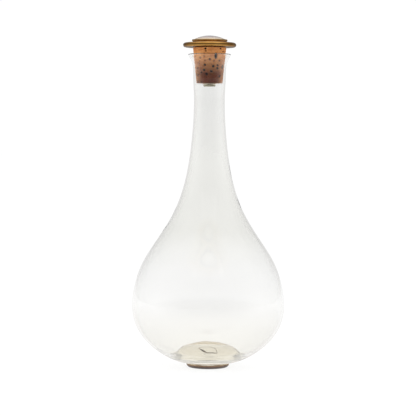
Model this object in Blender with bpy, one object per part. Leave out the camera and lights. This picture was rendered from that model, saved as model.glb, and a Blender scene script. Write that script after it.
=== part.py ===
"""Blown glass wine decanter with a cork stopper, standing on a low ring foot.

The glass is one turned shell: a round bulb that draws in to a narrow neck and flares at the lip.
The stopper is a tapered cork under a brass disc. A brass cup on the disc holds a domed stone, and
the cup's threaded post goes down through the disc into the cork, where a screw and a washer from
below pull the stack together. The origin is on the table under the centre of the foot, +Z up.
"""
import math

import bmesh
import bpy
import numpy as np

MM = 0.001  # every size below is in millimetres
SEGMENTS = 48  # facets around the axis on the large turned pieces
SMALL_SEGMENTS = 32  # the same on the screw, the washer and the stone's bed
GAP = 0.3  # clearance left between pieces that touch

# Glass: the outer outline as (radius, height), from the lip down to the middle of the base.
GLASS_OUTER = (
    (18.1, 265.8),
    (15.7, 261.2),
    (14.3, 256.5),
    (13.8, 245.0),
    (13.15, 229.0),
    (13.9, 206.0),
    (16.5, 180.0),
    (21.3, 155.5),
    (31.0, 130.0),
    (46.7, 105.0),
    (58.9, 83.5),
    (65.1, 56.0),
    (62.4, 37.5),
    (54.0, 23.8),
    (43.8, 14.6),
    (31.8, 7.6),
    (18.7, 3.7),
    (0.0, 1.7),
)
POINTS_PER_SPAN = 2
NECK_WALL = 1.3
BULB_WALL = 1.7
NECK_TO_BULB = (200.0, 100.0)  # heights between which the wall thickens
FLOOR_HEIGHT = 21.0  # the top of the thick domed base, inside the bulb
FLOOR_DROP = 6.0  # how far the dome falls, evenly, on its way out to FLOOR_REACH
FLOOR_EDGE_DROP = 5.0  # how far it falls besides, mostly near FLOOR_REACH
FLOOR_REACH = 29.0
FLOOR_BLEND = 1.2  # how soft the corner between the dome and the wall is
EDGE_STEPS = 4  # facets around the fire-polished edge of the lip

# Foot: a low ring that cups the round base.
FOOT_INNER_RADIUS = 9.2
FOOT_OUTER_RADIUS = 18.4
FOOT_FLAT_RADIUS = 14.8  # the flat that stands on the table ends here
FOOT_SEAT_STEPS = 4
FOOT_ROUND_STEPS = 6

# Stopper: heights of its faces, from the top of the stone to the underside of the screw.
STONE_TOP = 282.4
CUP_RIM_TOP = 279.0
DISC_TOP = 276.3
DISC_BOTTOM = 272.5
CORK_TOP = DISC_BOTTOM - GAP
CORK_LENGTH = 30.2
CORK_BOTTOM = CORK_TOP - CORK_LENGTH

DISC_RADIUS = 22.6
DISC_HOLE_RADIUS = 3.5
DISC_ROUND_STEPS = 8

CORK_TOP_RADIUS = 14.3
CORK_BOTTOM_RADIUS = 11.1
CORK_CHAMFER = 0.5
CORK_SCREW_HOLE_RADIUS = 2.3

CUP_RIM_RADIUS = 15.05
CUP_WALL = 0.75
CUP_NECK_RADIUS = 13.6
CUP_NECK_HEIGHT = 0.7
CUP_FLOOR = 0.9
CUP_RIM_ROUND = 0.3
POST_RADIUS = 3.1
POST_LENGTH = 15.0  # below the underside of the disc
POST_HOLE_RADIUS = 2.2
POST_HOLE_TOP = DISC_TOP - 1.5

STONE_RADIUS = CUP_RIM_RADIUS - CUP_WALL - GAP
STONE_GIRDLE = 0.5  # straight height of the stone's edge, inside the cup
STONE_DOME_STEPS = 8
BED_THICKNESS = 0.3

WASHER_RADIUS = 5.5
WASHER_THICKNESS = 0.8
WASHER_HOLE_RADIUS = 2.3
SCREW_RADIUS = 1.9
SCREW_HEAD_RADIUS = 5.2
SCREW_HEAD_HEIGHT = 1.4
SCREW_HEAD_ROUND = 0.9
SCREW_TOP = 270.0
SLOT_WIDTH = 1.1
SLOT_DEPTH = 0.7
ROUND_STEPS = 3

# Colours, in linear light: (red, green, blue), roughness, metallic.
GLASS_TINT = ((0.90, 0.92, 0.88), 0.03, 0.0)
DARK_FOOT = ((0.065, 0.042, 0.032), 0.55, 0.0)
CORK_BROWN = ((0.46, 0.20, 0.08), 0.85, 0.0)
AGED_BRASS = ((0.40, 0.25, 0.09), 0.32, 1.0)
BRIGHT_BRASS = ((0.62, 0.42, 0.18), 0.25, 1.0)
PALE_BRASS = ((0.70, 0.62, 0.42), 0.30, 1.0)
PEARL = ((0.60, 0.52, 0.54), 0.18, 0.0)
CEMENT = ((0.55, 0.50, 0.42), 0.80, 0.0)


def clear_scene():
    for item in list(bpy.data.objects):
        bpy.data.objects.remove(item, do_unlink=True)


def new_material(name, look):
    colour, roughness, metallic = look
    material = bpy.data.materials.new(name)
    material.use_nodes = True
    shader = material.node_tree.nodes["Principled BSDF"]
    shader.inputs["Base Color"].default_value = (*colour, 1.0)
    shader.inputs["Roughness"].default_value = roughness
    shader.inputs["Metallic"].default_value = metallic
    return material


def glass_material():
    material = new_material("clear_glass", GLASS_TINT)
    shader = material.node_tree.nodes["Principled BSDF"]
    shader.inputs["Transmission Weight"].default_value = 1.0
    shader.inputs["IOR"].default_value = 1.5
    return material


def natural_spline(knots, values, places):
    """Values at the given places of the natural cubic spline through the knots."""
    count = len(knots)
    step = np.diff(knots)
    matrix = np.eye(count)
    right = np.zeros(count)
    for i in range(1, count - 1):
        matrix[i, i - 1] = step[i - 1]
        matrix[i, i] = 2 * (step[i - 1] + step[i])
        matrix[i, i + 1] = step[i]
        right[i] = 6 * ((values[i + 1] - values[i]) / step[i] - (values[i] - values[i - 1]) / step[i - 1])
    bend = np.linalg.solve(matrix, right)
    span = np.clip(np.searchsorted(knots, places, side="right") - 1, 0, count - 2)
    width = step[span]
    before = places - knots[span]
    after = knots[span + 1] - places
    curved = (bend[span] * after**3 + bend[span + 1] * before**3) / (6 * width)
    start = (values[span] / width - bend[span] * width / 6) * after
    end = (values[span + 1] / width - bend[span + 1] * width / 6) * before
    return curved + start + end


def smooth_outline(stations, per_span):
    """A smooth outline through the stations, level where it meets the axis, and its outward normals."""
    points = np.array(stations)
    mirrored = points[-2:-6:-1] * (-1, 1)
    guide = np.vstack([points, mirrored])
    chords = np.sqrt(np.hypot(*np.diff(guide, axis=0).T))
    knots = np.concatenate([[0], np.cumsum(chords)])
    steps = (len(points) - 1) * per_span
    places = np.interp(np.arange(steps + 1) / per_span, np.arange(len(points)), knots[:len(points)])
    nearby = 0.001
    outline = np.column_stack([natural_spline(knots, guide[:, k], places) for k in (0, 1)])
    ahead = np.column_stack([natural_spline(knots, guide[:, k], places + nearby) for k in (0, 1)])
    along = ahead - outline
    along /= np.linalg.norm(along, axis=1)[:, None]
    outline[-1, 0] = 0.0
    normals = np.column_stack([-along[:, 1], along[:, 0]])
    normals[-1] = (0.0, -1.0)
    return outline, normals


def eased(value, start, end):
    """0 at start, 1 at end, with a level beginning and end."""
    share = min(max((value - start) / (end - start), 0.0), 1.0)
    return 0.5 - 0.5 * math.cos(math.pi * share)


def wall_at(height):
    return NECK_WALL + (BULB_WALL - NECK_WALL) * eased(height, *NECK_TO_BULB)


def above_floor(radius, height):
    """The height of the inner surface: the wall's own, or the domed base's where that is higher."""
    spread = (radius / FLOOR_REACH) ** 2
    floor = FLOOR_HEIGHT - FLOOR_DROP * spread - FLOOR_EDGE_DROP * spread**3
    return (height + floor) / 2 + math.hypot((height - floor) / 2, FLOOR_BLEND)


def arc(centre, radii, start, end, steps):
    """Points of an elliptical arc between two angles in degrees, with both ends."""
    points = []
    for i in range(steps + 1):
        angle = math.radians(start + (end - start) * i / steps)
        points.append((centre[0] + radii[0] * math.cos(angle), centre[1] + radii[1] * math.sin(angle)))
    return points


def turned(name, outline, material, segments=SEGMENTS):
    """A solid of revolution about Z from an outline of (radius, height) points in millimetres.

    An outline whose two ends lie on the axis is left open there. Any other outline is closed.
    """
    mesh = bpy.data.meshes.new(name)
    shape = bmesh.new()
    verts = [shape.verts.new((radius * MM, 0.0, height * MM)) for radius, height in outline]
    pairs = list(zip(verts, verts[1:]))
    if outline[0][0] > 0 or outline[-1][0] > 0:
        pairs.append((verts[-1], verts[0]))
    edges = [shape.edges.new(pair) for pair in pairs]
    bmesh.ops.spin(shape, geom=verts + edges, cent=(0, 0, 0), axis=(0, 0, 1), angle=math.tau,
                   steps=segments, use_merge=True)
    bmesh.ops.remove_doubles(shape, verts=shape.verts, dist=1e-6)
    bmesh.ops.recalc_face_normals(shape, faces=shape.faces)
    shape.to_mesh(mesh)
    shape.free()
    mesh.shade_smooth()
    mesh.set_sharp_from_angle(angle=math.radians(35))
    mesh.materials.append(material)
    piece = bpy.data.objects.new(name, mesh)
    bpy.context.scene.collection.objects.link(piece)
    return piece


def glass_outlines():
    outer, normals = smooth_outline(GLASS_OUTER, POINTS_PER_SPAN)
    walls = np.array([wall_at(height) for height in outer[:, 1]])
    inner = outer - normals * walls[:, None]
    inner[-1, 0] = 0.0
    inner[:, 1] = [above_floor(radius, height) for radius, height in inner]
    return outer, inner, normals


def make_glass_body():
    outer, inner, normals = glass_outlines()
    middle = (outer[0] + inner[0]) / 2
    half_wall = NECK_WALL / 2
    facing = math.degrees(math.atan2(normals[0, 1], normals[0, 0]))
    edge = arc(middle, (half_wall, half_wall), facing + 180, facing, EDGE_STEPS)
    outline = [tuple(point) for point in inner[::-1]][:-1] + edge + [tuple(point) for point in outer][1:]
    return turned("glass_body", outline, glass_material())


def foot_seat():
    """The foot's upper face, a clearance below the glass, from the outer edge to the inner edge."""
    outer, _, normals = glass_outlines()
    seat = outer + normals * GAP
    radii = np.linspace(FOOT_OUTER_RADIUS, FOOT_INNER_RADIUS, FOOT_SEAT_STEPS + 1)
    return [(radius, float(np.interp(-radius, -seat[:, 0][-12:], seat[:, 1][-12:]))) for radius in radii]


def make_foot_ring():
    seat = foot_seat()
    rim_height = seat[0][1]
    side = arc((FOOT_FLAT_RADIUS, rim_height), (FOOT_OUTER_RADIUS - FOOT_FLAT_RADIUS, rim_height),
               0, -90, FOOT_ROUND_STEPS)
    outline = seat[::-1] + side[1:] + [(FOOT_INNER_RADIUS, 0.0)]
    return turned("foot_ring", outline, new_material("dark_foot", DARK_FOOT))


def make_cork():
    post_bottom = DISC_BOTTOM - POST_LENGTH - GAP
    outline = [
        (DISC_HOLE_RADIUS, CORK_TOP),
        (CORK_TOP_RADIUS - CORK_CHAMFER, CORK_TOP),
        (CORK_TOP_RADIUS, CORK_TOP - CORK_CHAMFER),
        (CORK_BOTTOM_RADIUS, CORK_BOTTOM + CORK_CHAMFER),
        (CORK_BOTTOM_RADIUS - CORK_CHAMFER, CORK_BOTTOM),
        (CORK_SCREW_HOLE_RADIUS, CORK_BOTTOM),
        (CORK_SCREW_HOLE_RADIUS, post_bottom),
        (DISC_HOLE_RADIUS, post_bottom),
    ]
    return turned("cork", outline, new_material("cork", CORK_BROWN))


def make_flange_disc():
    half = (DISC_TOP - DISC_BOTTOM) / 2
    rim = arc((DISC_RADIUS - half, DISC_BOTTOM + half), (half, half), 90, -90, DISC_ROUND_STEPS)
    outline = [(DISC_HOLE_RADIUS, DISC_TOP)] + rim + [(DISC_HOLE_RADIUS, DISC_BOTTOM)]
    return turned("flange_disc", outline, new_material("aged_brass", AGED_BRASS))


def make_bezel_cup():
    shoulder = DISC_TOP + GAP
    floor = shoulder + CUP_FLOOR
    inner_radius = CUP_RIM_RADIUS - CUP_WALL
    underside = shoulder + CUP_NECK_HEIGHT
    round_centre = CUP_RIM_RADIUS - CUP_RIM_ROUND
    outline = [(0.0, floor), (inner_radius, floor), (inner_radius, CUP_RIM_TOP)]
    outline += arc((round_centre, CUP_RIM_TOP - CUP_RIM_ROUND), (CUP_RIM_ROUND,) * 2, 90, 0, ROUND_STEPS)
    outline += arc((round_centre, underside + CUP_RIM_ROUND), (CUP_RIM_ROUND,) * 2, 0, -90, ROUND_STEPS)
    outline += [
        (CUP_NECK_RADIUS, underside),
        (CUP_NECK_RADIUS, shoulder),
        (POST_RADIUS, shoulder),
        (POST_RADIUS, DISC_BOTTOM - POST_LENGTH),
        (POST_HOLE_RADIUS, DISC_BOTTOM - POST_LENGTH),
        (POST_HOLE_RADIUS, POST_HOLE_TOP),
        (0.0, POST_HOLE_TOP),
    ]
    return turned("bezel_cup", outline, new_material("bright_brass", BRIGHT_BRASS))


def bed_bottom():
    return DISC_TOP + GAP + CUP_FLOOR + GAP


def make_stone_bed():
    bottom = bed_bottom()
    top = bottom + BED_THICKNESS
    radius = STONE_RADIUS - 2 * GAP
    outline = [(0.0, top), (radius, top), (radius, bottom), (0.0, bottom)]
    return turned("stone_bed", outline, new_material("cement", CEMENT), SMALL_SEGMENTS)


def make_cabochon():
    """A low dome: part of a sphere above a short straight girdle."""
    bottom = bed_bottom() + BED_THICKNESS + GAP
    girdle = bottom + STONE_GIRDLE
    rise = STONE_TOP - girdle
    ball = (STONE_RADIUS**2 + rise**2) / (2 * rise)
    spread = math.degrees(math.asin(STONE_RADIUS / ball))
    dome = arc((0.0, STONE_TOP - ball), (ball, ball), 90, 90 - spread, STONE_DOME_STEPS)
    dome[0] = (0.0, STONE_TOP)
    outline = dome + [(STONE_RADIUS, bottom), (0.0, bottom)]
    return turned("cabochon", outline, new_material("pearl", PEARL))


def make_washer():
    top = CORK_BOTTOM - GAP
    bottom = top - WASHER_THICKNESS
    outline = [
        (WASHER_HOLE_RADIUS, top),
        (WASHER_RADIUS, top),
        (WASHER_RADIUS, bottom),
        (WASHER_HOLE_RADIUS, bottom),
    ]
    return turned("washer", outline, new_material("pale_brass", PALE_BRASS), SMALL_SEGMENTS)


def screw_slot_cutter(head_bottom):
    bpy.ops.mesh.primitive_cube_add(size=1.0, location=(0, 0, head_bottom * MM))
    cutter = bpy.context.active_object
    cutter.name = "slot_cutter"
    cutter.scale = (3 * SCREW_HEAD_RADIUS * MM, SLOT_WIDTH * MM, 2 * SLOT_DEPTH * MM)
    bpy.ops.object.transform_apply(location=False, rotation=False, scale=True)
    cutter.hide_render = True
    cutter.display_type = "WIRE"
    return cutter


def make_tie_screw():
    top = CORK_BOTTOM - GAP - WASHER_THICKNESS - GAP
    bottom = top - SCREW_HEAD_HEIGHT
    corner = (SCREW_HEAD_RADIUS - SCREW_HEAD_ROUND, bottom + SCREW_HEAD_ROUND)
    outline = [(0.0, SCREW_TOP), (SCREW_RADIUS, SCREW_TOP), (SCREW_RADIUS, top), (SCREW_HEAD_RADIUS, top)]
    outline += arc(corner, (SCREW_HEAD_ROUND,) * 2, 0, -90, ROUND_STEPS) + [(0.0, bottom)]
    screw = turned("tie_screw", outline, new_material("screw_brass", PALE_BRASS), SMALL_SEGMENTS)
    slot = screw.modifiers.new("slot", "BOOLEAN")
    slot.operation = "DIFFERENCE"
    slot.object = screw_slot_cutter(bottom)
    return screw


def attach(parent, children):
    for child in children:
        child.parent = parent


def main():
    clear_scene()
    glass = make_glass_body()
    attach(glass, [make_foot_ring()])
    cork = make_cork()
    attach(cork, [
        make_flange_disc(),
        make_bezel_cup(),
        make_stone_bed(),
        make_cabochon(),
        make_washer(),
        make_tie_screw(),
    ])


main()
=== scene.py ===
import math
import random
from collections import defaultdict

import bmesh
import bpy
import numpy as np
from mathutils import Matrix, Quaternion, Vector, noise


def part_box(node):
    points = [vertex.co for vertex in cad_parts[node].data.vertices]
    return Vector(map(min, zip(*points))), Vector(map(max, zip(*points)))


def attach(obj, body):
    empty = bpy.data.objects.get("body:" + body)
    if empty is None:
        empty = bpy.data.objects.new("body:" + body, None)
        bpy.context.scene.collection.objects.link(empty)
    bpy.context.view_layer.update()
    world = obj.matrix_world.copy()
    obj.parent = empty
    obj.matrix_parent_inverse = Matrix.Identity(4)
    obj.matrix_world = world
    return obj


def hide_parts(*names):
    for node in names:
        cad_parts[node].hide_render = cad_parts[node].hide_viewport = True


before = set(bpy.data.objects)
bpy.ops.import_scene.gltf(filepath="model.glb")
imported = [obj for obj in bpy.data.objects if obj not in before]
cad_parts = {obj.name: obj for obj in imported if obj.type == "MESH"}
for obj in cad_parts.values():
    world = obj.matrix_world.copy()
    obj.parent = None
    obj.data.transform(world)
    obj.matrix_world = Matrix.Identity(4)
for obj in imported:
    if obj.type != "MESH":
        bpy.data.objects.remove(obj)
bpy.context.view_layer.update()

MM = 0.001
VESSEL = "vessel"
STOPPER = "stopper"

# Camera and studio.
CAMERA_DISTANCE = 1.45
CAMERA_HEIGHT = 0.19
AIM_HEIGHT = 0.13595  # the height at the middle of the picture
AIM_SIDE = -0.0006
PICTURE_WIDTH = 0.3545  # what the picture spans at the axis of the decanter
CAMERA_ROLL = math.radians(-0.35)
SENSOR = 36.0  # millimetres
BOUNCES = 64
CLEAR_BOUNCES = 24

# Mesh fineness.
GLASS_SEGMENTS = 180
GLASS_STEPS = 5  # rings for each ring of the CAD outline
METAL_SEGMENTS = 160
CORK_SEGMENTS = 300
CORK_PITCH = 0.32 * MM


# ---------------------------------------------------------------- outlines and turned meshes

def outline_of(node):
    """The outline of a turned CAD node in the half-plane y = 0, x > 0, in order: (radius, height)."""
    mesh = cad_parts[node].data
    tiny = 2e-6
    place = {}
    for vertex in mesh.vertices:
        if abs(vertex.co.y) < tiny and vertex.co.x > -tiny:
            place[vertex.index] = (round(max(vertex.co.x, 0.0), 6), round(vertex.co.z, 6))
    links = defaultdict(set)
    for edge in mesh.edges:
        a, b = edge.vertices
        if a in place and b in place and place[a] != place[b]:
            links[place[a]].add(place[b])
            links[place[b]].add(place[a])
    ends = sorted((p for p in links if len(links[p]) == 1), key=lambda p: -p[1])
    chain = [ends[0]]
    seen = {ends[0]}
    while True:
        onward = [p for p in links[chain[-1]] if p not in seen]
        if not onward:
            return np.array(chain)
        chain.append(onward[0])
        seen.add(onward[0])


def natural_spline(knots, values, places):
    """Values at the given places of the natural cubic spline through the knots."""
    count = len(knots)
    step = np.diff(knots)
    matrix = np.eye(count)
    right = np.zeros(count)
    for i in range(1, count - 1):
        matrix[i, i - 1] = step[i - 1]
        matrix[i, i] = 2 * (step[i - 1] + step[i])
        matrix[i, i + 1] = step[i]
        right[i] = 6 * ((values[i + 1] - values[i]) / step[i] - (values[i] - values[i - 1]) / step[i - 1])
    bend = np.linalg.solve(matrix, right)
    span = np.clip(np.searchsorted(knots, places, side="right") - 1, 0, count - 2)
    width = step[span]
    before = places - knots[span]
    after = knots[span + 1] - places
    curved = (bend[span] * after**3 + bend[span + 1] * before**3) / (6 * width)
    start = (values[span] / width - bend[span] * width / 6) * after
    end = (values[span + 1] / width - bend[span + 1] * width / 6) * before
    return curved + start + end


def smooth_chain(points, per_span):
    """A smooth line through outline points that start and end on the axis, level at both ends."""
    mirrored = points * (-1, 1)
    guide = np.vstack([mirrored[4:0:-1], points, mirrored[-2:-6:-1]])
    chords = np.sqrt(np.hypot(*np.diff(guide, axis=0).T))
    knots = np.concatenate([[0], np.cumsum(chords)])
    own = knots[4:4 + len(points)]
    count = (len(points) - 1) * per_span
    places = np.interp(np.arange(count + 1) / per_span, np.arange(len(points)), own)
    line = np.column_stack([natural_spline(knots, guide[:, k], places) for k in (0, 1)])
    line[0, 0] = line[-1, 0] = 0.0
    line[:, 0] = np.maximum(line[:, 0], 0.0)
    return line


def arc(centre, radius, start, end, steps):
    """Points of a circular arc between two angles in degrees, with both ends."""
    angles = np.radians(np.linspace(start, end, steps + 1))
    return [(centre[0] + radius * math.cos(a), centre[1] + radius * math.sin(a)) for a in angles]


def rounded(points, radius, closed=False, steps=3):
    """The outline with each corner that turns by more than 20 degrees filleted."""
    points = [Vector(p) for p in points]
    count = len(points)
    out = []
    for i, corner in enumerate(points):
        if not closed and i in (0, count - 1):
            out.append(tuple(corner))
            continue
        before = points[i - 1] - corner
        after = points[(i + 1) % count] - corner
        turn = before.angle(after)
        if turn > math.radians(160):
            out.append(tuple(corner))
            continue
        reach = min(radius / math.tan(turn / 2), before.length * 0.45, after.length * 0.45)
        start = corner + before.normalized() * reach
        end = corner + after.normalized() * reach
        for k in range(steps + 1):
            t = k / steps
            out.append(tuple(start * (1 - t) ** 2 + corner * 2 * t * (1 - t) + end * t**2))
    return out


def resampled(points, pitch, closed=False):
    """The outline with points added so that no step is longer than pitch."""
    points = [tuple(p) for p in points]
    ring = points + [points[0]] if closed else points
    out = []
    for (r0, z0), (r1, z1) in zip(ring, ring[1:]):
        steps = max(1, math.ceil(math.hypot(r1 - r0, z1 - z0) / pitch))
        out += [(r0 + (r1 - r0) * k / steps, z0 + (z1 - z0) * k / steps) for k in range(steps)]
    return out if closed else out + [ring[-1]]


def revolve(name, outline, segments, closed=False, shape=None):
    """A closed surface of revolution. shape moves its points: it takes and gives radii, angles, heights.

    An open outline starts and ends on the axis. The angle is 0 towards -Y and grows towards +X.
    """
    outline = np.array(outline, float)
    poles = [] if closed else [outline[0], outline[-1]]
    rings = outline if closed else outline[1:-1]
    angles = np.arange(segments) * math.tau / segments
    radius = np.repeat(rings[:, 0][:, None], segments, 1)
    height = np.repeat(rings[:, 1][:, None], segments, 1)
    angle = np.repeat(angles[None, :], len(rings), 0)
    if shape:
        radius, height = shape(radius, angle, height)
    grid = np.stack([radius * np.sin(angle), -radius * np.cos(angle), height], -1).reshape(-1, 3)
    verts = [tuple(p) for p in grid]
    faces = []
    last = len(rings) if closed else len(rings) - 1
    for i in range(last):
        here, there = i * segments, ((i + 1) % len(rings)) * segments
        for k in range(segments):
            n = (k + 1) % segments
            faces.append((here + k, here + n, there + n, there + k))
    for which, pole in enumerate(poles):
        verts.append((0.0, 0.0, pole[1]))
        tip = len(verts) - 1
        edge = 0 if which == 0 else (len(rings) - 1) * segments
        for k in range(segments):
            n = (k + 1) % segments
            faces.append((tip, edge + n, edge + k) if which == 0 else (tip, edge + k, edge + n))
    return mesh_piece(name, verts, faces)


def mesh_piece(name, verts, faces):
    """A new smooth-shaded object, with its faces turned outwards."""
    mesh = bpy.data.meshes.new(name)
    mesh.from_pydata(verts, [], faces)
    shape = bmesh.new()
    shape.from_mesh(mesh)
    bmesh.ops.recalc_face_normals(shape, faces=shape.faces)
    shape.to_mesh(mesh)
    shape.free()
    mesh.shade_smooth()
    piece = bpy.data.objects.new(name, mesh)
    bpy.context.scene.collection.objects.link(piece)
    return piece


def place(piece, body, node, slot, material):
    """Gives the piece its material and its body, and hides the CAD node that it stands for. The slot, its
    finish, is not used.
    """
    piece.data.materials.clear()
    piece.data.materials.append(material)
    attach(piece, body)
    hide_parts(node)
    return piece


def turned_points(node):
    """The vertices of a turned CAD node, and how far each one is from the axis."""
    points = np.array([v.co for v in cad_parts[node].data.vertices])
    return points, np.hypot(points[:, 0], points[:, 1])


def spans(node):
    """(least radius, greatest radius, lowest, highest) of a turned CAD node."""
    points, radii = turned_points(node)
    return radii.min(), radii.max(), points[:, 2].min(), points[:, 2].max()


def field(scale, seed, *, octaves=3):
    """A smooth random field over space, about -1 to 1, the same on each run."""
    shift = Vector((seed * 13.7, seed * 7.3, seed * 3.1))

    def value(x, y, z):
        return noise.fractal(Vector((x, y, z)) / scale + shift, 1.0, 2.0, octaves)
    return value


# ---------------------------------------------------------------- node helpers

class Tree:
    """Short names for building a node tree. A value is a socket, a number or a colour."""

    def __init__(self, tree):
        self.tree = tree

    def add(self, kind, **settings):
        node = self.tree.nodes.new(kind)
        for key, value in settings.items():
            setattr(node, key, value)
        return node

    def link(self, source, target):
        self.tree.links.new(source, target)

    def give(self, value, socket):
        """Links the value to the socket if it is a socket itself, or else sets it there."""
        if isinstance(value, bpy.types.NodeSocket):
            self.link(value, socket)
        else:
            socket.default_value = (*value, 1.0) if isinstance(value, tuple) else value

    def ramp(self, value, *stops):
        node = self.add("ShaderNodeValToRGB")
        elements = node.color_ramp.elements
        while len(elements) < len(stops):
            elements.new(0.5)
        for element, (position, colour) in zip(elements, stops):
            element.position = position
            element.color = (*colour, 1.0) if isinstance(colour, tuple) else (colour, colour, colour, 1.0)
        self.link(value, node.inputs["Fac"])
        return node.outputs["Color"]

    def mix(self, share, a, b, kind="MIX"):
        """The colours a and b mixed: a where share is 0, b where it is 1."""
        node = self.add("ShaderNodeMix", data_type="RGBA", blend_type=kind)
        self.give(share, node.inputs[0])
        self.give(a, node.inputs[6])
        self.give(b, node.inputs[7])
        return node.outputs[2]

    def math(self, kind, a, b=0.0, clamp=False):
        node = self.add("ShaderNodeMath", operation=kind, use_clamp=clamp)
        self.give(a, node.inputs[0])
        self.give(b, node.inputs[1])
        return node.outputs[0]

    def between(self, value, low, high):
        """0 where the value is at low, 1 where it is at high, and even in between."""
        node = self.add("ShaderNodeMapRange")
        node.inputs["From Min"].default_value = low
        node.inputs["From Max"].default_value = high
        self.link(value, node.inputs["Value"])
        return node.outputs["Result"]


class Nodes(Tree):
    """A new material and its nodes, which read the piece's own coordinates in metres."""

    def __init__(self, name):
        self.material = bpy.data.materials.new(name)
        self.material.use_nodes = True
        super().__init__(self.material.node_tree)
        self.shader = self.tree.nodes["Principled BSDF"]
        self.output = self.tree.nodes["Material Output"]
        self.coords = self.add("ShaderNodeTexCoord").outputs["Object"]

    def set(self, **values):
        for key, value in values.items():
            self.give(value, self.shader.inputs[key.replace("_", " ")])

    def mapped(self, scale):
        node = self.add("ShaderNodeMapping")
        node.inputs["Scale"].default_value = scale
        self.link(self.coords, node.inputs["Vector"])
        return node.outputs["Vector"]

    def noise(self, scale, detail=4.0, roughness=0.55, stretch=(1, 1, 1), distortion=0.0):
        node = self.add("ShaderNodeTexNoise")
        node.inputs["Scale"].default_value = scale
        node.inputs["Detail"].default_value = detail
        node.inputs["Roughness"].default_value = roughness
        node.inputs["Distortion"].default_value = distortion
        self.link(self.mapped(stretch), node.inputs["Vector"])
        return node.outputs["Fac"]

    def axis(self, letter):
        node = self.add("ShaderNodeSeparateXYZ")
        self.link(self.coords, node.inputs["Vector"])
        return node.outputs[letter]

    def from_axis(self):
        """The distance from the decanter's axis, in metres."""
        x = self.axis("X")
        y = self.axis("Y")
        return self.math("SQRT", self.math("ADD", self.math("MULTIPLY", x, x), self.math("MULTIPLY", y, y)))

    def facing(self):
        """0 where the surface faces the eye, 1 where it is seen edge on."""
        return self.add("ShaderNodeLayerWeight").outputs["Facing"]

    def attribute(self, name):
        return self.add("ShaderNodeAttribute", attribute_name=name).outputs["Fac"]

    def bump(self, height, distance, strength=1.0):
        node = self.add("ShaderNodeBump")
        node.inputs["Distance"].default_value = distance
        node.inputs["Strength"].default_value = strength
        self.link(height, node.inputs["Height"])
        self.link(node.outputs["Normal"], self.shader.inputs["Normal"])


# ---------------------------------------------------------------- glass

TINT_TOP = 0.27  # the height at the far end of the scale of the glass's tints and painted shade
GLASS_SHRINK = 0.05 * MM  # keeps the fine surface inside the CAD box
FLOOR_FINENESS = 8  # how much finer the rings are in the middle of the base
FINE_RADIUS = 0.0155  # the middle of the base ends at this radius and height
FINE_HEIGHT = 0.03
INNER_WAVE = 0.22 * MM  # the unevenness of the glass inside, and of its finer ripple
INNER_RIPPLE = 0.07 * MM
OUTER_WAVE = 0.10 * MM
EVEN_ABOVE = 0.235  # the height where the unevenness ends, under the cork
EVEN_BLEND = 0.03
AXIS_BLEND = 0.02  # the glass grows even towards the axis, from this radius inwards
MARK_RADIUS = 5.5 * MM  # the polished mark of the iron, under the middle of the base
MARK_DEPTH = 0.4 * MM
LAMP_LIGHT = (0.93, 0.93, 0.92)  # how much lamp light comes through the glass

# The painted shade marks inside the base, a dark ring and a speck put where the foot's dark edge and its
# contact shadow show through the glass, as heights above the underside of the glass.
RING_STEPS = 96
RING_SIDES = 8
RING_HALF_SIZES = (6.0 * MM, 1.7 * MM)
RING_THREAD = 0.14 * MM  # the radius of its thread
RING_RISE = 3.7 * MM
RING_TILT = -0.09
SPECK_RADIUS = 0.4 * MM
SPECK_PLACE = (-2.1 * MM, -12.0 * MM)
SPECK_RISE = 6.6 * MM


def glass_material():
    """Clear glass, tinted by height: partly the glass's own tint and partly painted shade, darker at the
    shoulders and in the neck. It is cream in the thick base, partly the thick glass's own tint and partly a
    painted view of the warm surface under it. Where it is seen edge on it is darker and, low down, brown:
    painted shade and reflection of the surroundings.
    """
    n = Nodes("clear_glass")
    n.set(Transmission_Weight=1.0, Roughness=0.0, IOR=1.5)
    height = n.between(n.axis("Z"), 0.0, TINT_TOP)
    # painted shade mixed with the glass's own tint: the darker bands at the shoulders and in the neck stand
    # for shade
    tint = n.ramp(
        height,
        (0.0, (0.94, 0.925, 0.88)),
        (0.04, (0.945, 0.937, 0.905)),
        (0.10, (0.938, 0.932, 0.908)),
        (0.20, (0.967, 0.967, 0.961)),
        (0.30, (0.957, 0.957, 0.952)),
        (0.37, (0.940, 0.940, 0.928)),
        (0.43, (0.905, 0.905, 0.885)),
        (0.65, (0.938, 0.938, 0.921)),
        (0.85, (0.928, 0.928, 0.919)),
        (1.0, (0.95, 0.952, 0.945)),
    )
    # cream in the thick base: partly the thick glass's own tint, partly a painted view of the warm surface
    # under the glass
    in_middle = n.between(n.from_axis(), 0.036, 0.026)
    thick = n.math("MULTIPLY", in_middle, n.between(n.axis("Z"), 0.026, 0.018), clamp=True)
    tint = n.mix(thick, tint, (0.96, 0.905, 0.765))
    # painted shade and reflection: darker, and brown low down, where the glass is seen edge on
    edge = n.ramp(
        height,
        (0.0, (0.55, 0.38, 0.28)),
        (0.10, (0.66, 0.54, 0.47)),
        (0.25, (0.90, 0.88, 0.86)),
        (0.60, (0.86, 0.86, 0.86)),
        (1.0, (0.86, 0.85, 0.84)),
    )
    colour = n.mix(n.ramp(n.facing(), (0.78, 0.0), (1.0, 1.0)), tint, edge)
    n.link(colour, n.shader.inputs["Base Color"])
    pass_light_to_lamps(n)
    return n.material


def pass_light_to_lamps(n):
    """Lets lamp light reach what stands inside the glass, as it does through real thin glass."""
    path = n.add("ShaderNodeLightPath")
    clear = n.add("ShaderNodeBsdfTransparent")
    n.give(LAMP_LIGHT, clear.inputs["Color"])
    blend = n.add("ShaderNodeMixShader")
    n.link(path.outputs["Is Shadow Ray"], blend.inputs[0])
    n.link(n.shader.outputs["BSDF"], blend.inputs[1])
    n.link(clear.outputs["BSDF"], blend.inputs[2])
    n.link(blend.outputs["Shader"], n.output.inputs["Surface"])


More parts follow.
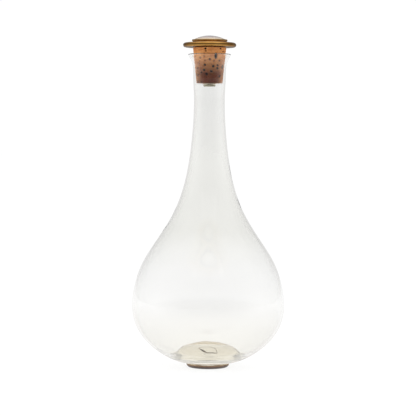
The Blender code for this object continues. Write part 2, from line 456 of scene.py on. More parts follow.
def glass_line():
    """The shell's outline in fine steps, finest on the floor of the bulb, and where its inside ends."""
    chain = outline_of("glass_body")
    if chain[0][1] < chain[-1][1]:
        chain = chain[::-1]
    line = smooth_chain(chain, GLASS_STEPS * FLOOR_FINENESS)
    inner_end = int(np.argmax(line[:, 1]))
    number = np.arange(len(line))
    near_middle = (line[:, 0] < FINE_RADIUS) & (line[:, 1] < FINE_HEIGHT)
    keep = (number % FLOOR_FINENESS == 0) | near_middle
    return line[keep], int(keep[:inner_end].sum())


def make_glass():
    """The blown shell: the CAD outline made smooth, with the slow unevenness of blown glass."""
    line, inner_end = glass_line()
    is_inner = np.arange(len(line)) < inner_end
    uneven = field(0.035, 3, octaves=2)
    ripple = field(0.012, 8, octaves=2)

    def shape(radius, angle, height):
        for i, k in np.ndindex(radius.shape):
            r, a, z = radius[i, k], angle[i, k], height[i, k]
            x, y = r * math.sin(a), -r * math.cos(a)
            off_axis = min(r / AXIS_BLEND, 1.0)
            share = min(max((EVEN_ABOVE - z) / EVEN_BLEND, 0.0), 1.0) * off_axis
            if is_inner[i + 1]:
                move = INNER_WAVE * uneven(x, y, z * 0.6) + INNER_RIPPLE * ripple(x, y, z * 0.35)
                radius[i, k] = r - abs(share * move) * (1 if r > 1 * MM else 0)
            else:
                wave = 0.5 + 0.5 * uneven(x + 1, y, z * 0.6)
                radius[i, k] = r - GLASS_SHRINK * off_axis - share * OUTER_WAVE * wave
                if z < 0.01 and r < MARK_RADIUS:
                    height[i, k] = z + MARK_DEPTH * (1 - (r / MARK_RADIUS) ** 2)
        return radius, height

    piece = revolve("glass_shell", line, GLASS_SEGMENTS, shape=shape)
    return place(piece, VESSEL, "glass_body", "clear_glass", glass_material())


def base_shade_ring(shape, underside):
    """Adds a thin closed dark thread along an ellipse, lower towards +X: painted shade where the foot's edge
    shows through the base.
    """
    wide, deep = RING_HALF_SIZES
    up = Vector((0, 0, 1))
    rings = []
    for i in range(RING_STEPS):
        angle = math.tau * i / RING_STEPS
        x = wide * math.cos(angle)
        middle = Vector((x, deep * math.sin(angle), underside + RING_RISE + RING_TILT * x))
        out = Vector((-wide * math.sin(angle), deep * math.cos(angle), 0)).normalized().cross(up)
        turns = np.arange(RING_SIDES) * math.tau / RING_SIDES
        rings.append([shape.verts.new(middle + RING_THREAD * (math.cos(t) * out + math.sin(t) * up))
                      for t in turns])
    for ring, onward in zip(rings, rings[1:] + rings[:1]):
        for k in range(RING_SIDES):
            n = (k + 1) % RING_SIDES
            shape.faces.new((ring[k], ring[n], onward[n], onward[k]))


def make_base_shade_marks():
    """A thin dark ring, and a speck, inside the thick base: painted shade where the foot's dark edge and its
    contact shadow show through the glass.
    """
    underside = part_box("glass_body")[0].z
    shape = bmesh.new()
    base_shade_ring(shape, underside)
    speck = bmesh.ops.create_icosphere(shape, subdivisions=2, radius=SPECK_RADIUS)
    bmesh.ops.translate(shape, vec=(*SPECK_PLACE, underside + SPECK_RISE), verts=speck["verts"])
    bmesh.ops.recalc_face_normals(shape, faces=shape.faces)
    mesh = bpy.data.meshes.new("base_shade_marks")
    shape.to_mesh(mesh)
    shape.free()
    mesh.shade_smooth()
    n = Nodes("base_shade_dark")
    grain = n.noise(2500.0, detail=3.0)
    # painted shade colour for the ring and the speck
    shade_dark = n.ramp(grain, (0.3, (0.10, 0.07, 0.05)), (0.7, (0.22, 0.16, 0.11)))
    n.link(shade_dark, n.shader.inputs["Base Color"])
    n.set(Roughness=0.7)
    mesh.materials.append(n.material)
    piece = bpy.data.objects.new("base_shade_marks", mesh)
    bpy.context.scene.collection.objects.link(piece)
    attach(piece, VESSEL)


# ---------------------------------------------------------------- foot

PAINTED_LIGHT_SEAT = (0.92, 0.83, 0.66)
SEAT_EDGE = 0.0112  # the foot's top carries the pale painted light from here outwards
SEAT_STEPS = 9
SEAT_BEND = 1.6  # how the seat's height grows with the radius, as a power
SEAT_GAP = 0.04 * MM  # keeps the seat under the glass


def foot_material():
    """Dark stained hardwood with painted light and shade: browner along its upper edge as lit from above,
    darker below towards the floor, and pale on top, a painted light that shows through the glass base.
    """
    n = Nodes("dark_foot")
    grain = n.noise(260.0, detail=6.0, roughness=0.65, stretch=(1, 0.18, 1))
    dark = n.ramp(grain, (0.30, (0.030, 0.022, 0.021)), (0.70, (0.095, 0.066, 0.056)))
    brown = n.ramp(grain, (0.30, (0.16, 0.085, 0.045)), (0.75, (0.34, 0.20, 0.11)))
    # painted light and shade: browner above, as lit from above, darker down towards the floor
    edge = n.between(n.axis("Z"), 0.0016, 0.0029)
    colour = n.mix(edge, dark, brown)
    # painted light: the pale top of the seat, seen through the glass base
    colour = n.mix(n.attribute("seat"), colour, PAINTED_LIGHT_SEAT)
    n.link(colour, n.shader.inputs["Base Color"])
    rough = n.ramp(grain, (0.3, 0.42), (0.7, 0.62))
    n.link(rough, n.shader.inputs["Roughness"])
    n.set(Specular_IOR_Level=0.4, Coat_Weight=0.25, Coat_Roughness=0.3)
    n.bump(grain, 0.00012, 0.5)
    return n.material


def make_foot():
    """The ring foot: a seat that follows the round base, and a round side down to the flat."""
    inner, outer, low, _ = spans("foot_ring")
    points, radii = turned_points("foot_ring")
    at_inner = points[radii < inner + 0.1 * MM, 2].max()
    at_outer = points[radii > outer - 0.1 * MM, 2].max()
    flat_edge = radii[points[:, 2] < low + 1e-6].max()
    shares = np.linspace(0, 1, SEAT_STEPS)
    line = [(inner + (outer - inner) * share, at_inner + (at_outer - at_inner) * share**SEAT_BEND - SEAT_GAP)
            for share in shares]
    for angle in np.radians(np.linspace(0, 90, 13))[1:]:
        line.append((flat_edge + (outer - flat_edge) * math.cos(angle), at_outer * (1 - math.sin(angle))))
    line += [(inner + 0.4 * MM, 0.0), (inner, 0.4 * MM)]
    line = resampled(line, 0.5 * MM, closed=True)
    wobble = field(0.006, 11, octaves=3)

    def shape(radius, angle, height):
        for i, k in np.ndindex(radius.shape):
            r, a, z = radius[i, k], angle[i, k], height[i, k]
            if z > 0.3 * MM and r > flat_edge:
                radius[i, k] = r - 0.05 * MM * (1 + wobble(r * math.sin(a), r * math.cos(a), z))
        return radius, height

    piece = revolve("foot", line, METAL_SEGMENTS, closed=True, shape=shape)
    rim = outer - 0.6 * MM
    painted_light_share = [float(SEAT_EDGE < math.hypot(v.co.x, v.co.y) < rim and v.normal.z > 0.5)
                  for v in piece.data.vertices]
    piece.data.attributes.new("seat", "FLOAT", "POINT").data.foreach_set("value", painted_light_share)
    return place(piece, VESSEL, "foot_ring", "dark_foot", foot_material())


# ---------------------------------------------------------------- cork

# The cork's larger pores: angle in degrees from the front towards the right, depth below the cork's
# top, width, height in millimetres, darkness: the pore's own dark colour and painted shade in its pit.
CORK_PORES = (
    (-15, 1.4, 1.5, 1.3, 1.0), (41, 1.4, 1.1, 1.0, 0.8), (-14, 3.5, 1.3, 1.0, 0.6),
    (56, 3.8, 1.5, 0.9, 0.9), (72, 3.9, 1.4, 1.0, 0.9), (23, 7.4, 1.9, 4.2, 1.0),
    (-63, 7.7, 1.2, 1.0, 0.5), (-36, 8.8, 1.3, 1.8, 0.45), (-20, 7.6, 1.0, 1.4, 0.4),
    (-17, 11.2, 1.4, 1.2, 0.35), (-41, 11.7, 0.9, 0.9, 0.5), (0, 10.1, 1.4, 1.6, 0.65),
    (15, 11.4, 1.2, 1.6, 0.35), (39, 11.2, 1.4, 1.3, 0.6), (-43, 13.9, 1.1, 1.0, 0.45),
    (-18, 15.0, 1.6, 1.6, 0.95), (14, 16.1, 1.6, 1.7, 0.95), (32, 15.2, 1.6, 1.4, 1.0),
    (32, 17.8, 1.7, 1.6, 0.95), (59, 16.5, 1.9, 3.0, 1.0), (-52, 17.8, 1.3, 1.2, 0.6),
    (-22, 19.3, 1.5, 1.7, 0.8), (7, 20.5, 1.9, 1.5, 1.0), (-35, 21.4, 1.3, 1.3, 0.75),
    (-12, 22.8, 1.6, 1.7, 0.95), (-56, 23.4, 1.5, 1.5, 0.95), (46, 24.6, 1.5, 1.7, 0.7),
    (63, 22.5, 1.2, 1.4, 0.45), (-59, 29.3, 1.5, 1.7, 1.0), (-38, 29.7, 1.4, 1.3, 0.7),
)
FRONT_HALF = 80  # degrees each side of the front that the list above covers
LOOSE_PORES = 46
FINE_PORES = 260
STAIN_AND_SHADE = (0.105, 0.016, 0.002)  # the wine's stain and painted shade, low on the cork's front and back
# the pores' own dark colour and painted shade in their pits
PORE_DARK_AND_SHADE = (0.012, 0.006, 0.005)


def cork_pores(top, bottom):
    """All pits of the cork: (angle, height, half width, half height, depth, darkness), in metres."""
    draw = random.Random(41)
    pores = []
    for angle, below, width, tall, dark in CORK_PORES:
        pores.append((math.radians(angle), top - below * MM, width * MM * 0.66, tall * MM * 0.62,
                      (0.25 + 0.45 * dark) * MM, min(1.0, dark * 1.3)))
    length = top - bottom
    for _ in range(LOOSE_PORES):
        angle = math.radians(draw.uniform(FRONT_HALF, 360 - FRONT_HALF))
        width = draw.uniform(0.45, 0.95) * MM
        dark = draw.uniform(0.35, 1.0)
        pores.append((angle, bottom + draw.uniform(0.03, 0.97) * length, width,
                      width * draw.uniform(0.8, 1.7), (0.25 + 0.45 * dark) * MM, dark))
    for _ in range(FINE_PORES):
        width = draw.uniform(0.12, 0.32) * MM
        pores.append((draw.uniform(0, math.tau), bottom + draw.random() * length, width,
                      width * draw.uniform(0.8, 2.2), 0.14 * MM, draw.uniform(0.15, 0.5)))
    return pores


def cork_material():
    """Natural cork: warm tan, reddish growth bands, fine flecks, a low end darker on its front and back,
    partly a wine stain and partly painted shade, and near-black pores, their own dark colour with painted
    shade in the pits.
    """
    n = Nodes("cork")
    patches = n.noise(150.0, detail=5.0, roughness=0.6, stretch=(1, 1, 0.8))
    flecks = n.noise(900.0, detail=3.0, roughness=0.7)
    bands = n.noise(420.0, detail=3.0, roughness=0.6, stretch=(0.35, 0.35, 1.3), distortion=0.6)
    tan = n.ramp(patches, (0.30, (0.42, 0.13, 0.032)), (0.5, (0.59, 0.24, 0.07)),
                 (0.72, (0.80, 0.42, 0.16)))
    tan = n.mix(0.55, tan, n.ramp(bands, (0.35, (0.44, 0.135, 0.038)), (0.65, (0.76, 0.38, 0.14))))
    tan = n.mix(n.ramp(flecks, (0.58, 0.0), (0.70, 0.5)), tan, (0.20, 0.065, 0.022))
    tan = n.mix(n.ramp(flecks, (0.28, 0.5), (0.38, 0.0)), tan, (0.80, 0.50, 0.26))
    # a wine stain mixed with painted shade: darker low down, on the front and back only
    low = n.between(n.axis("Z"), 0.262, 0.250)
    stain = n.math("MULTIPLY", low, n.ramp(patches, (0.25, 1.0), (0.8, 0.85)), clamp=True)
    faces = n.between(n.math("ABSOLUTE", n.axis("Y")), 0.004, 0.0095)
    stain = n.math("MULTIPLY", stain, n.between(faces, -0.4, 1.0), clamp=True)
    tan = n.mix(stain, tan, STAIN_AND_SHADE)
    # the pores' own dark colour, with painted shade in the pits
    n.link(n.mix(n.attribute("pore"), tan, PORE_DARK_AND_SHADE), n.shader.inputs["Base Color"])
    n.set(Roughness=0.88, Specular_IOR_Level=0.25)
    n.bump(n.math("ADD", n.math("MULTIPLY", flecks, 0.6), patches), 0.0004, 0.45)
    return n.material


def make_cork():
    """The tapered cork: its bore, its crumbly skin and its pores, squeezed up against the disc."""
    bore, widest, bottom, top = spans("cork")
    points, radii = turned_points("cork")
    foot_radius = radii[points[:, 2] < bottom + 1e-5].max() + 0.5 * MM
    squeezed_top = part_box("flange_disc")[0].z - 0.04 * MM
    post_radius = radii[points[:, 2] > top - 1e-5].min()
    step_height = points[(radii < post_radius + 1e-5) & (points[:, 2] < top - 1e-4)
                         & (radii > bore + 1e-4), 2].max()
    line = rounded(
        [
            (post_radius, squeezed_top), (widest, squeezed_top), (foot_radius, bottom), (bore, bottom),
            (bore, step_height), (post_radius, step_height),
        ],
        0.7 * MM, closed=True)
    line = np.array(resampled(line, CORK_PITCH, closed=True))
    pores = cork_pores(top, bottom)
    crumble = field(0.0011, 21, octaves=3)
    swell = field(0.008, 22, octaves=2)
    slope = (widest - foot_radius) / (top - bottom)
    darkness = []

    def shape(radius, angle, height):
        wall = foot_radius + (height - bottom) * slope
        on_side = radius > wall - 1.2 * MM
        depth = np.zeros_like(radius)
        dark = np.zeros_like(radius)
        for at, z, wide, tall, deep, shade in pores:
            across = (np.mod(angle - at + math.pi, math.tau) - math.pi) * radius / wide
            along = (height - z) / tall
            reach = across**2 + along**2
            hole = np.clip(1.25 - reach, 0, 1)
            depth = np.maximum(depth, deep * np.sqrt(hole))
            dark = np.maximum(dark, shade * np.clip((1.3 - reach) / 0.55, 0, 1))
        rough = np.zeros_like(radius)
        for i, k in np.ndindex(radius.shape):
            r, a, z = radius[i, k], angle[i, k], height[i, k]
            if r > bore + 1.5 * MM:
                x, y = r * math.sin(a), r * math.cos(a)
                rough[i, k] = 0.05 * (1 + crumble(x, y, z)) + 0.05 * (1 + swell(x, y, z))
        inward = depth * on_side + rough * MM
        ends = (height > top - 0.2 * MM) | (height < bottom + 0.2 * MM)
        radius = radius - inward * (radius > post_radius + 1 * MM)
        height = height - np.sign(height - (top + bottom) / 2) * rough * MM * ends
        darkness.append((dark * on_side).ravel())
        return radius, height

    piece = revolve("cork_plug", line, CORK_SEGMENTS, closed=True, shape=shape)
    pore = piece.data.attributes.new("pore", "FLOAT", "POINT")
    pore.data.foreach_set("value", darkness[0].astype(np.float32))
    return place(piece, STOPPER, "cork", "cork", cork_material())


# ---------------------------------------------------------------- brass

THREAD_DEPTH = 0.35 * MM
THREAD_PITCH = 0.8 * MM
SLOT_WIDTH = 1.1 * MM
SLOT_CUBE = 1.4 * MM  # twice the slot's depth, for half of it is below the head


def brass_material(name, light, deep, roughness, patina, scale=180.0, metallic=1.0):
    """Worn brass: two tones of metal under a broken brown patina, with fine turned scratches."""
    n = Nodes(name)
    cloud = n.noise(scale, detail=5.0, roughness=0.6)
    speck = n.noise(scale * 6, detail=2.0, roughness=0.7)
    turning = n.noise(1500.0, detail=2.0, roughness=0.6, stretch=(0.02, 0.02, 1.0))
    metal = n.mix(n.ramp(cloud, (0.35, 0.0), (0.65, 1.0)), deep, light)
    tarnish = n.math("MULTIPLY", n.ramp(cloud, (0.30, 1.0), (0.55, 0.0)), patina, clamp=True)
    spots = n.math("MULTIPLY", n.ramp(speck, (0.62, 0.0), (0.72, 1.0)), patina, clamp=True)
    brown = tuple(c * 0.35 for c in deep)
    metal = n.mix(tarnish, metal, brown)
    metal = n.mix(spots, metal, brown)
    n.link(metal, n.shader.inputs["Base Color"])
    n.set(Metallic=metallic)
    rough = n.math("ADD", n.math("MULTIPLY", tarnish, 0.25), n.math("MULTIPLY", cloud, 0.16))
    n.link(n.math("ADD", rough, roughness - 0.08), n.shader.inputs["Roughness"])
    n.bump(n.math("MULTIPLY", turning, 0.5), 0.00002, 0.3)
    return n.material


def make_disc():
    """The brass disc: a full round rim, with a shallow turned step inside it above and below."""
    hole, outer, low, high = spans("flange_disc")
    half = (high - low) / 2
    centre = (outer - half, low + half)
    step = 0.25 * MM
    plate = outer - 2.1 * half
    rim = arc(centre, half, 105, -105, 28)
    line = [(hole, high - step), (plate, high - step)] + rim + [(plate, low + step), (hole, low + step)]
    line = resampled(rounded(line, 0.3 * MM, closed=True), 0.6 * MM, closed=True)
    dents = field(0.005, 31, octaves=2)

    def shape(radius, angle, height):
        for i, k in np.ndindex(radius.shape):
            r, a, z = radius[i, k], angle[i, k], height[i, k]
            if r > plate:
                push = 0.06 * MM * abs(dents(r * math.sin(a), r * math.cos(a), z))
                radius[i, k] = r - push
                height[i, k] = z - (1 if z > centre[1] else -1) * push * 0.6
        return radius, height

    piece = revolve("brass_disc", line, METAL_SEGMENTS, closed=True, shape=shape)
    material = brass_material("aged_brass", (0.50, 0.27, 0.075), (0.40, 0.19, 0.04), 0.17, 0.35, 90.0)
    return place(piece, STOPPER, "flange_disc", "aged_brass", material)


def make_cup():
    """The cup that holds the stone, its narrower neck band, and its post down into the cork."""
    _, outer, low, high = spans("bezel_cup")
    points, radii = turned_points("bezel_cup")
    disc_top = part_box("flange_disc")[1].z
    shoulder = points[points[:, 2] > disc_top, 2].min()
    post = radii[points[:, 2] < low + 1e-5].max()
    bore = radii[points[:, 2] < low + 1e-5].min()
    bore_top = points[(radii < bore + 1e-5) & (points[:, 2] < shoulder), 2].max()
    neck = radii[np.abs(points[:, 2] - shoulder) < 1e-5].max()
    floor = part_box("stone_bed")[0].z - 0.3 * MM
    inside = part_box("cabochon")[1].x + 0.3 * MM
    neck_top = shoulder + 0.7 * MM
    bead = (high - neck_top) / 2
    line = [(0.0, floor), (inside, floor), (inside, high)]
    line += arc((outer - 0.30 * MM, high - 0.30 * MM), 0.30 * MM, 90, 0, 6)
    line += arc((outer - bead, neck_top + bead), bead, -8, -80, 10)
    line += [
        (neck + 0.15 * MM, neck_top), (neck - 0.12 * MM, neck_top - 0.25 * MM),
        (neck, shoulder + 0.1 * MM), (neck - 0.1 * MM, shoulder), (post, shoulder), (post, low + 0.3 * MM),
        (post - 0.3 * MM, low), (bore, low), (bore, bore_top), (0.0, bore_top + 0.6 * MM),
    ]
    line = resampled(line, 0.5 * MM)
    piece = revolve("stone_cup", line, METAL_SEGMENTS)
    piece.data.set_sharp_from_angle(angle=math.radians(50))
    material = brass_material("bright_brass", (0.95, 0.66, 0.32), (0.80, 0.50, 0.20), 0.3, 0.15)
    return place(piece, STOPPER, "bezel_cup", "bright_brass", material)


def make_washer():
    """The round washer under the cork, with worn edges."""
    hole, outer, low, high = spans("washer")
    line = [(hole, high), (outer, high), (outer, low), (hole, low)]
    line = rounded(line, 0.22 * MM, closed=True, steps=4)
    line = resampled(line, 0.4 * MM, closed=True)
    piece = revolve("brass_washer", line, 96, closed=True)
    material = brass_material("pale_brass", (0.97, 0.92, 0.74), (0.92, 0.86, 0.68), 0.3, 0.05, metallic=0.4)
    return place(piece, STOPPER, "washer", "pale_brass", material)


def make_screw():
    """The tie screw: a slotted low head with a round edge, and a shank with a rolled helical thread."""
    _, head, low, high = spans("tie_screw")
    points, radii = turned_points("tie_screw")
    shank = radii[points[:, 2] > high - 1e-5].max()
    head_top = points[radii > head - 1e-4, 2].max()
    line = [(0.0, high), (shank - 0.5 * MM, high), (shank, high - 0.5 * MM), (shank, head_top + 0.3 * MM),
            (shank + 0.3 * MM, head_top), (head - 0.2 * MM, head_top), (head, head_top - 0.2 * MM)]
    corner = 0.9 * MM
    line += arc((head - corner, low + corner), corner, 0, -90, 10) + [(head * 0.5, low), (0.0, low)]
    line = resampled(line, 0.13 * MM)

    def shape(radius, angle, height):
        threaded = (height > head_top + 0.8 * MM) & (height < high - 0.2 * MM) & (radius > shank - 1e-5)
        turn = np.mod(height / THREAD_PITCH - angle / math.tau, 1.0)
        valley = 1 - np.abs(2 * turn - 1)
        return radius - threaded * THREAD_DEPTH * np.clip(valley * 1.4 - 0.2, 0, 1), height

    screw = revolve("slotted_screw", line, 64, shape=shape)
    cut_slot(screw, head, low)
    screw.data.set_sharp_from_angle(angle=math.radians(40))
    material = brass_material("screw_brass", (0.50, 0.46, 0.33), (0.30, 0.27, 0.20), 0.22, 0.3)
    return place(screw, STOPPER, "tie_screw", "screw_brass", material)


def cut_slot(screw, head, low):
    """Cuts the driver's slot across the head."""
    slot_mesh = bpy.data.meshes.new("slot")
    shape = bmesh.new()
    bmesh.ops.create_cube(shape, size=1.0)
    bmesh.ops.scale(shape, vec=(3 * head, SLOT_WIDTH, SLOT_CUBE), verts=shape.verts)
    bmesh.ops.translate(shape, vec=(0, 0, low), verts=shape.verts)
    shape.to_mesh(slot_mesh)
    shape.free()
    slot = bpy.data.objects.new("slot", slot_mesh)
    bpy.context.scene.collection.objects.link(slot)
    cut = screw.modifiers.new("slot", "BOOLEAN")
    cut.operation = "DIFFERENCE"
    cut.object = slot
    view = bpy.context.evaluated_depsgraph_get()
    cut_mesh = bpy.data.meshes.new_from_object(screw.evaluated_get(view))
    screw.modifiers.remove(cut)
    screw.data = cut_mesh
    bpy.data.objects.remove(slot, do_unlink=True)


# ---------------------------------------------------------------- stone

STONE_RADIUS = 14.0 * MM  # for the stone's colours and its painted reflection, which change from its middle to its edge


def stone_material():
    """Pearly stone: lilac-grey in the middle, cream and faint pink towards the edge, partly its own colour
    and partly a painted reflection of the white surround on its sloping edge, cloudy bands.
    """
    n = Nodes("pearly_stone")
    radius = n.math("DIVIDE", n.from_axis(), STONE_RADIUS)
    cloud = n.noise(160.0, detail=5.0, roughness=0.55, distortion=1.2)
    swirl = n.noise(60.0, detail=3.0, roughness=0.5, distortion=2.5)
    drift = n.math("MULTIPLY", n.math("SUBTRACT", cloud, 0.5), 0.35)
    # cream towards the edge: partly the stone's own colour, partly a painted reflection of the white
    # surround
    colour = n.ramp(n.math("ADD", radius, drift), (0.05, (0.27, 0.23, 0.295)), (0.40, (0.33, 0.28, 0.33)),
                    (0.65, (0.43, 0.35, 0.325)), (0.95, (0.56, 0.47, 0.35)))
    colour = n.mix(n.ramp(swirl, (0.42, 0.0), (0.62, 0.3)), colour, (0.66, 0.60, 0.58))
    colour = n.mix(n.ramp(swirl, (0.36, 0.35), (0.44, 0.0)), colour, (0.42, 0.40, 0.50))
    n.link(colour, n.shader.inputs["Base Color"])
    n.set(Roughness=0.2, Coat_Weight=0.5, Coat_Roughness=0.05)
    n.bump(cloud, 0.00005, 0.2)
    return n.material


def make_stone():
    """The low domed stone, not quite even, as polished by hand."""
    _, outer, low, high = spans("cabochon")
    girdle = low + 0.5 * MM
    rise = high - girdle
    ball = (outer**2 + rise**2) / (2 * rise)
    spread = math.degrees(math.asin(outer / ball))
    dome = arc((0.0, high - ball), ball, 90, 90 - spread, 40)
    dome[0] = (0.0, high)
    line = dome + [(outer, low + 0.15 * MM), (outer - 0.15 * MM, low), (outer * 0.5, low), (0.0, low)]
    hand = field(0.011, 51, octaves=2)

    def shape(radius, angle, height):
        for i, k in np.ndindex(radius.shape):
            r, a, z = radius[i, k], angle[i, k], height[i, k]
            if z > girdle + 0.2 * MM:
                height[i, k] = z - 0.08 * MM * abs(hand(r * math.sin(a), r * math.cos(a), 0.0))
        return radius, height

    piece = revolve("stone", line, METAL_SEGMENTS, shape=shape)
    return place(piece, STOPPER, "cabochon", "pearly_stone", stone_material())


def cement_material():
    """Gritty pale cement."""
    n = Nodes("cement")
    grit = n.noise(900.0, detail=5.0, roughness=0.7)
    pale = n.ramp(grit, (0.3, (0.40, 0.36, 0.30)), (0.7, (0.62, 0.58, 0.50)))
    n.link(pale, n.shader.inputs["Base Color"])
    n.set(Roughness=0.9)
    n.bump(grit, 0.0001, 0.6)
    return n.material


def make_bed():
    """The cement bed under the stone: a thin pad, squeezed out unevenly."""
    _, outer, low, high = spans("stone_bed")
    line = rounded([(0.0, high), (outer, high), (outer, low), (0.0, low)], 0.1 * MM)
    line = resampled(line, 0.9 * MM)
    squeeze = field(0.004, 61, octaves=3)

    def shape(radius, angle, height):
        for i, k in np.ndindex(radius.shape):
            r, a = radius[i, k], angle[i, k]
            x, y = r * math.sin(a), r * math.cos(a)
            radius[i, k] = r * (1 - 0.02 * (1 + squeeze(x, y, 0.0)))
            if height[i, k] > (low + high) / 2:
                height[i, k] -= 0.04 * MM * (1 + squeeze(x, y, 0.1))
        return radius, height

    piece = revolve("cement_bed", line, 96, shape=shape)
    return place(piece, STOPPER, "stone_bed", "cement", cement_material())


# ---------------------------------------------------------------- studio

THROUGH_GLASS = 1.01  # how bright the white surround is behind the glass
OPEN_WHITE = 1.02  # and where nothing stands before it
WINDOW_LIGHT = 1.0
OVERHEAD = 90.0  # the lamp right over the decanter, which only the lip can mirror
FLOOR_GLOW = 0.86
FLOOR_SIZE = 30.0
FRONT, BACK = -0.85, -0.1  # Y of the directions between which the dark front gives way to the bright back

# Area lamps: name, place, aim, size in metres, power in watts.
LAMPS = (
    ("left_window", (-1.2, -2.2, 1.3), (0, 0, 0.12), (0.5, 1.1), 9),
    ("right_window", (0.9, -2.4, 1.5), (0, 0, 0.12), (0.5, 1.0), 7),
    ("left_side", (-1.7, 0.5, 0.7), (0, 0, 0.2), (0.5, 1.2), 16),
    ("right_side", (1.7, 0.6, 0.7), (0, 0, 0.2), (0.5, 1.2), 14),
)


def make_world():
    """White surround. What glass and brass mirror is darker at eye level, most of all from the front.

    Its colour depends on how the light reaches the eye: straight, mirrored in brass, mirrored in
    glass, through glass, or mirrored inside glass.
    """
    world = bpy.data.worlds.new("studio")
    world.use_nodes = True
    t = Tree(world.node_tree)
    path = t.add("ShaderNodeLightPath")
    split = t.add("ShaderNodeSeparateXYZ")
    t.link(t.add("ShaderNodeTexCoord").outputs["Generated"], split.inputs["Vector"])

    def ramp(stops, value=split.outputs["Z"], reach=1.0):
        """Colours for values from -reach to reach: for the height of the direction, unless said."""
        stops = [((position / reach + 1) / 2, colour) for position, colour in stops]
        return t.ramp(t.between(value, -reach, reach), *stops)

    from_back = t.between(split.outputs["Y"], FRONT, BACK)
    towards = t.math("MAXIMUM", t.math("MULTIPLY", split.outputs["Y"], -1.0), 0.02)
    across = ramp([(-0.62, 0.0), (-0.55, 1.0), (-0.42, 0.35), (0.38, 0.35), (0.5, 1.0), (0.62, 0.0)],
                  t.math("DIVIDE", split.outputs["X"], towards))
    upward = ramp([(0.7, 0.0), (0.85, 1.0), (1.6, 1.0), (1.9, 0.0)],
                  t.math("DIVIDE", split.outputs["Z"], towards), 2.0)
    window = t.mix(1.0, across, upward, "MULTIPLY")
    in_metal = ramp([(-1.0, (0.80, 0.77, 0.72)), (-0.4, (0.50, 0.46, 0.42)), (0.0, 0.15),
                     (0.6, (0.40, 0.40, 0.41)), (0.93, 1.6), (1.0, 2.0)])
    glass_back = ramp([(-1.0, (0.76, 0.74, 0.70)), (-0.05, (0.78, 0.77, 0.75)), (0.06, 0.70), (0.2, 0.48),
                       (0.6, 0.50), (0.9, 0.8), (0.955, 0.9), (0.965, OVERHEAD), (1.0, OVERHEAD)])
    glass_front = ramp([(-1.0, 0.4), (-0.3, 0.2), (0.0, 0.14), (0.5, 0.12), (0.9, 0.5), (0.955, 0.7),
                        (0.965, OVERHEAD), (1.0, OVERHEAD)])
    glass_front = t.mix(WINDOW_LIGHT, glass_front, window, "ADD")
    in_glass = t.mix(from_back, glass_front, glass_back)
    inside_back = ramp([(-1.0, (0.85, 0.80, 0.72)), (-0.3, (0.85, 0.82, 0.77)), (0.0, (0.86, 0.85, 0.84)),
                        (0.5, 0.86), (1.0, 1.3)])
    inside_front = ramp([(-1.0, (0.82, 0.80, 0.76)), (-0.1, 0.30), (0.0, 0.30), (0.5, 0.25), (0.8, 0.7),
                         (1.0, 0.80)])
    inside = t.mix(from_back, inside_front, inside_back)
    seen_through = ramp([(-1.0, (0.98, 0.96, 0.92)), (0.0, THROUGH_GLASS), (1.0, THROUGH_GLASS)])
    reflections = path.outputs["Glossy Depth"]
    mirrored = t.mix(path.outputs["Is Singular Ray"], in_metal, in_glass)
    through = t.mix(reflections, seen_through, inside)
    colour = t.mix(reflections, (1.0, 1.0, 1.0), mirrored)
    colour = t.mix(path.outputs["Transmission Depth"], colour, through)
    colour = t.mix(path.outputs["Is Camera Ray"], colour, (OPEN_WHITE,) * 3)
    t.link(colour, t.tree.nodes["Background"].inputs["Color"])
    bpy.context.scene.world = world


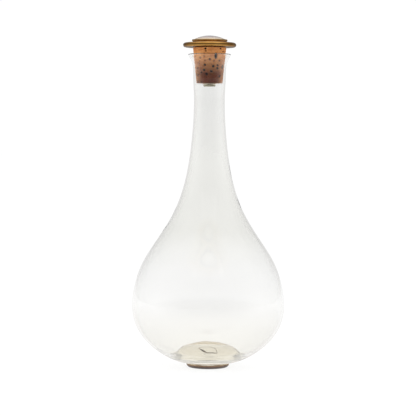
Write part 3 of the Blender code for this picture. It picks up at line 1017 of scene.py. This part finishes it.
def make_floor():
    """A pale studio floor that runs out of the picture on every side. Its light is painted: it glows to
    match the surround, set apart for what is seen straight, through glass, and mirrored in brass and glass,
    where it dims with distance.
    """
    mesh = bpy.data.meshes.new("floor")
    shape = bmesh.new()
    bmesh.ops.create_grid(shape, x_segments=8, y_segments=8, size=FLOOR_SIZE)
    shape.to_mesh(mesh)
    shape.free()
    floor = bpy.data.objects.new("floor", mesh)
    floor.location.z = -0.1 * MM
    bpy.context.scene.collection.objects.link(floor)
    n = Nodes("studio_floor")
    n.set(Base_Color=(0.15, 0.15, 0.15), Roughness=0.9, Specular_IOR_Level=0.0,
          Emission_Color=(1.0, 1.0, 1.0))
    path = n.add("ShaderNodeLightPath")
    radius = n.from_axis()
    away = n.math("DIVIDE", n.axis("Y"), n.math("ADD", radius, 0.02))
    behind = n.between(away, FRONT, BACK)
    in_metal = n.ramp(radius, (0.12, 0.80), (0.9, 0.15))
    glass_front = n.ramp(radius, (0.10, (0.60, 0.57, 0.52)), (0.5, 0.15))
    in_glass = n.mix(behind, glass_front, (0.78, 0.77, 0.75))
    inside_front = n.ramp(radius, (0.15, (0.74, 0.72, 0.67)), (0.9, (0.28, 0.28, 0.27)))
    inside = n.mix(behind, inside_front, (0.84, 0.82, 0.78))
    mirrored = n.mix(path.outputs["Is Singular Ray"], in_metal, in_glass)
    reflected = n.mix(path.outputs["Transmission Depth"], mirrored, inside)
    through = FLOOR_GLOW + THROUGH_GLASS - 1
    direct = n.mix(path.outputs["Transmission Depth"], (FLOOR_GLOW,) * 3, (through,) * 3)
    glow = n.mix(path.outputs["Glossy Depth"], direct, reflected)
    n.link(glow, n.shader.inputs["Emission Strength"])
    mesh.materials.append(n.material)


def make_lamps():
    """Soft lamps that light the cork, the brass and the stone, and show in no reflection."""
    for name, spot, aim, size, power in LAMPS:
        lamp = bpy.data.lights.new(name, "AREA")
        lamp.shape = "RECTANGLE"
        lamp.size, lamp.size_y = size
        lamp.energy = power
        holder = bpy.data.objects.new(name, lamp)
        holder.location = spot
        holder.rotation_mode = "QUATERNION"
        holder.rotation_quaternion = (Vector(aim) - Vector(spot)).to_track_quat("-Z", "Y")
        holder.visible_glossy = False
        holder.visible_transmission = False
        bpy.context.scene.collection.objects.link(holder)


def make_camera():
    """The camera, a little above the middle of the decanter and aimed slightly down."""
    data = bpy.data.cameras.new("camera")
    data.sensor_width = SENSOR
    aim = Vector((AIM_SIDE, 0.0, AIM_HEIGHT))
    spot = Vector((AIM_SIDE, -CAMERA_DISTANCE, CAMERA_HEIGHT))
    data.lens = SENSOR * (aim - spot).length / PICTURE_WIDTH
    camera = bpy.data.objects.new("camera", data)
    camera.location = spot
    look = (aim - spot).to_track_quat("-Z", "Y")
    camera.rotation_mode = "QUATERNION"
    camera.rotation_quaternion = Quaternion(aim - spot, CAMERA_ROLL) @ look
    bpy.context.scene.collection.objects.link(camera)
    bpy.context.scene.camera = camera


def set_light_paths():
    """Plain colours, and enough bounces for light that travels along inside the glass wall."""
    scene = bpy.context.scene
    scene.view_settings.view_transform = "Standard"
    scene.cycles.max_bounces = BOUNCES
    scene.cycles.glossy_bounces = BOUNCES
    scene.cycles.transmission_bounces = BOUNCES
    scene.cycles.transparent_max_bounces = CLEAR_BOUNCES


make_glass()
make_base_shade_marks()
make_foot()
make_cork()
make_disc()
make_cup()
make_bed()
make_stone()
make_washer()
make_screw()
make_world()
make_floor()
make_lamps()
make_camera()
set_light_paths()
